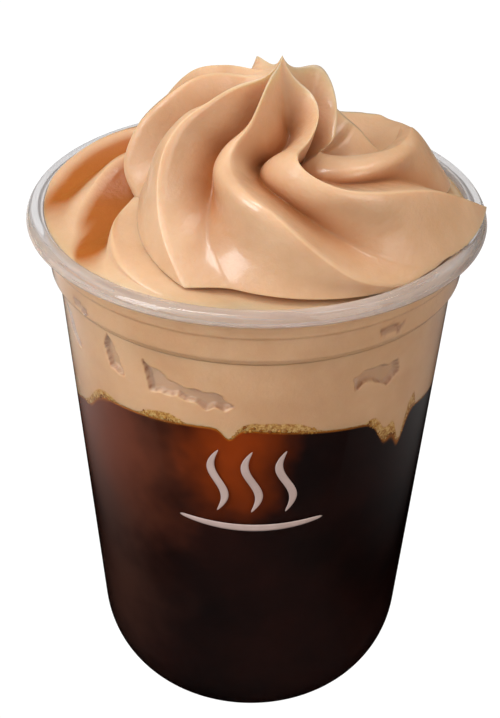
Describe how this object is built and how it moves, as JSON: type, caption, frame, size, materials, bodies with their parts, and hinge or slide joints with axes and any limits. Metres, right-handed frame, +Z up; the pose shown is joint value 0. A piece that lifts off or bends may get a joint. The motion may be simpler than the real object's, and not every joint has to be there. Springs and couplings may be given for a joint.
{
  "type": "freddo cappuccino",
  "caption": "Cold foamed coffee in a clear rounded plastic cup, dark coffee below, a coffee foam layer above it and a tall piped foam swirl on top.",
  "frame": {"origin": "centre of the cup's foot on the surface it stands on", "axes": "+Z up along the cup's axis, -Y towards the side the picture shows, +X to the right of that view"},
  "size_m": [0.095, 0.095, 0.1469],
  "materials": {
    "clear_plastic": "clear, glossy moulded plastic, slightly milky at the lip",
    "coffee": "dark brown liquid, wet",
    "foam": "light coffee foam, soft satin",
    "piped_foam": "light coffee foam, satin with a wet sheen on the ridges"
  },
  "bodies": {
    "root": {"cup": "clear_plastic", "coffee": "coffee", "foam_layer": "foam", "foam_swirl": "piped_foam"}
  },
  "joints": []
}
